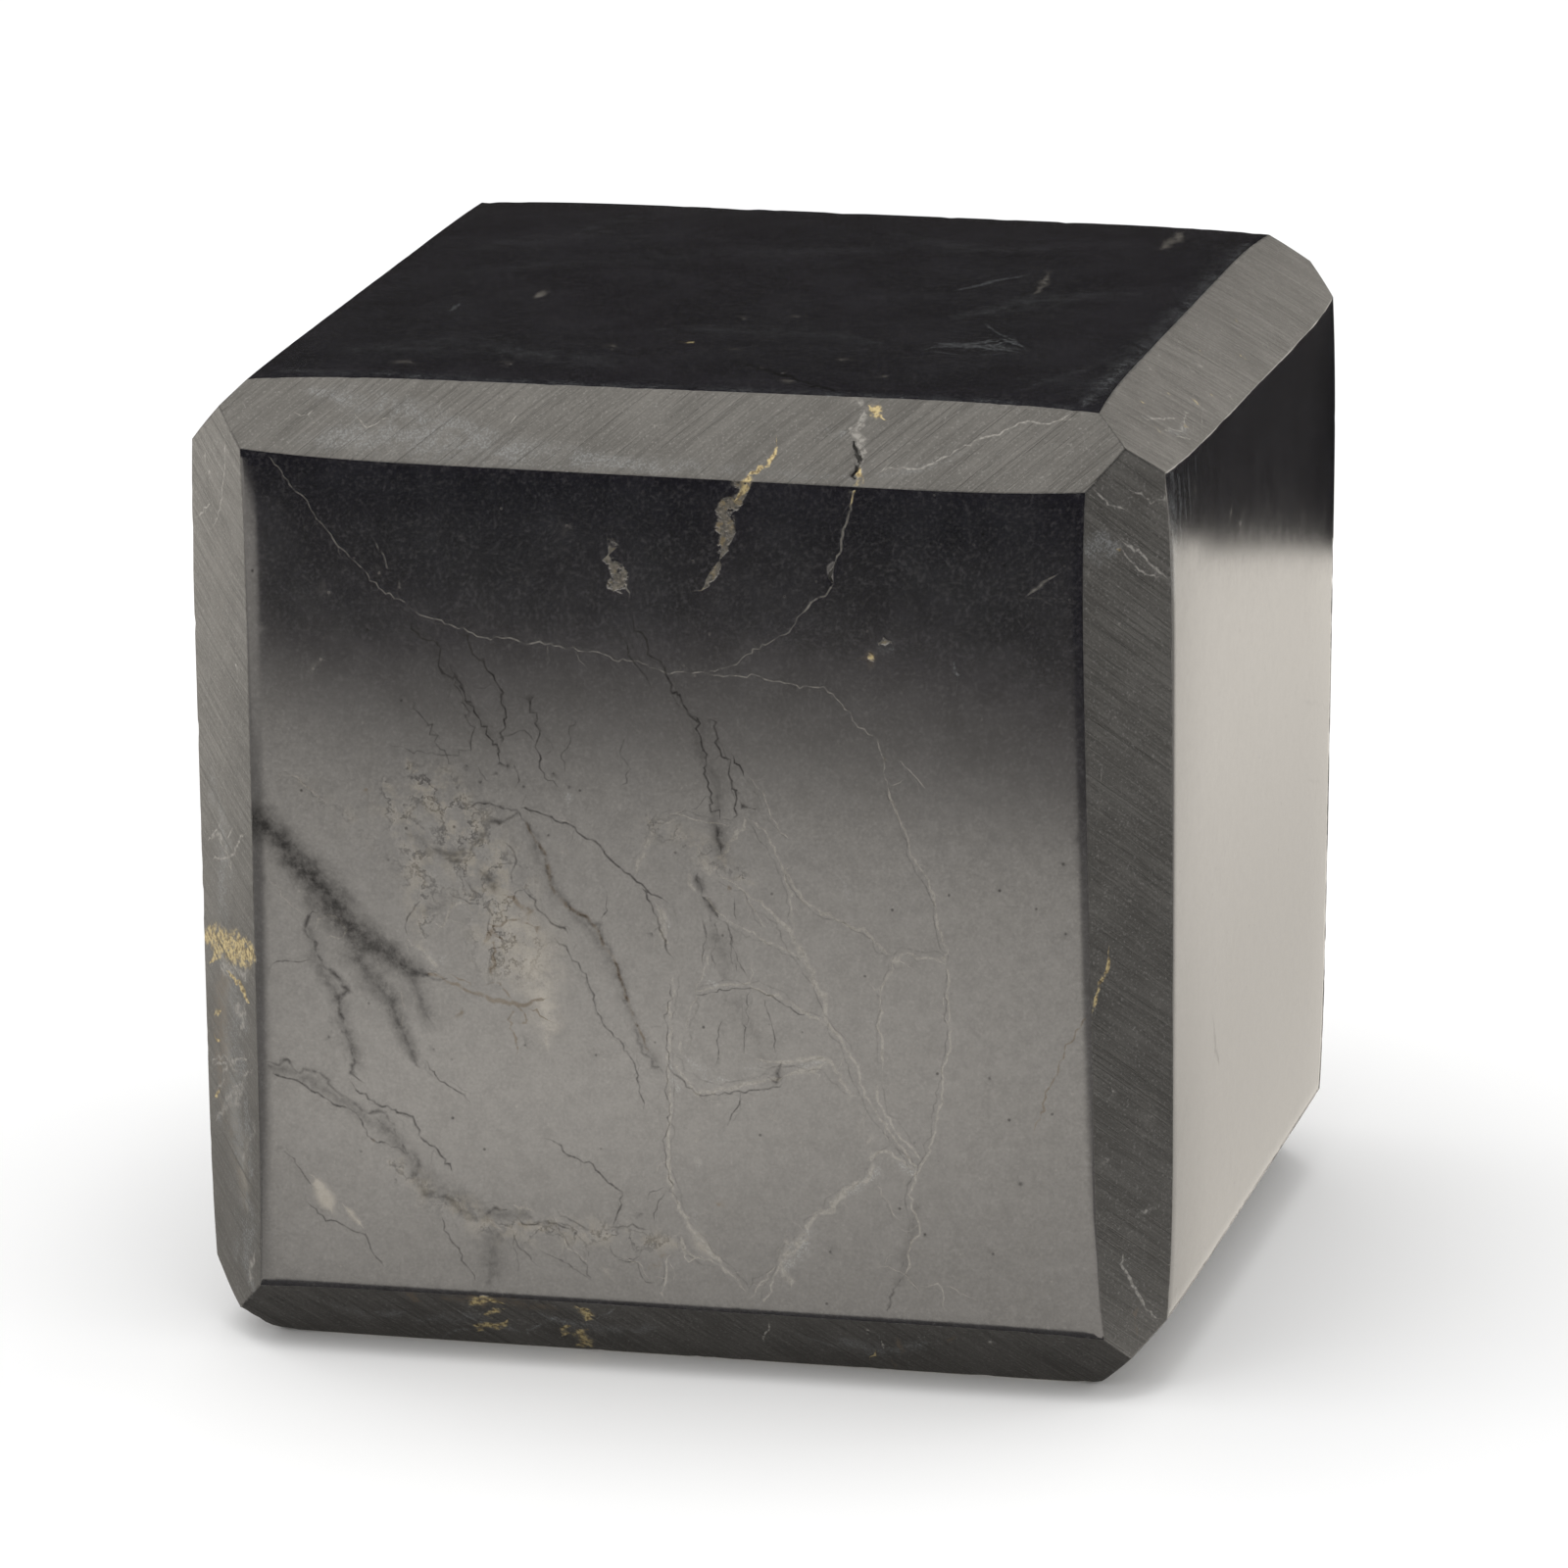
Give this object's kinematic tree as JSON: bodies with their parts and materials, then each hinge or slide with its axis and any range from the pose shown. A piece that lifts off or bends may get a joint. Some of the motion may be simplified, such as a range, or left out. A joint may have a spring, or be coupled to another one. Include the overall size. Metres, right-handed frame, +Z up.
{
  "type": "shungite cube",
  "caption": "Hand-polished shungite cube with softly rolled faces and ground bevels along its edges, dark grey to black with fine pale and golden veins.",
  "frame": {"origin": "on the surface that the cube rests on, under the middle of its outer box", "axes": "+Z up, -Y towards the front face of the picture, +X towards the bright right face; +X is the longest side and +Y the shortest"},
  "size_m": [0.0502, 0.0488, 0.0497],
  "materials": {
    "shungite": "polished faces and satin ground bevels, with fine pale, grey and golden veins"
  },
  "bodies": {
    "root": {"shungite_cube": "shungite"}
  },
  "joints": []
}
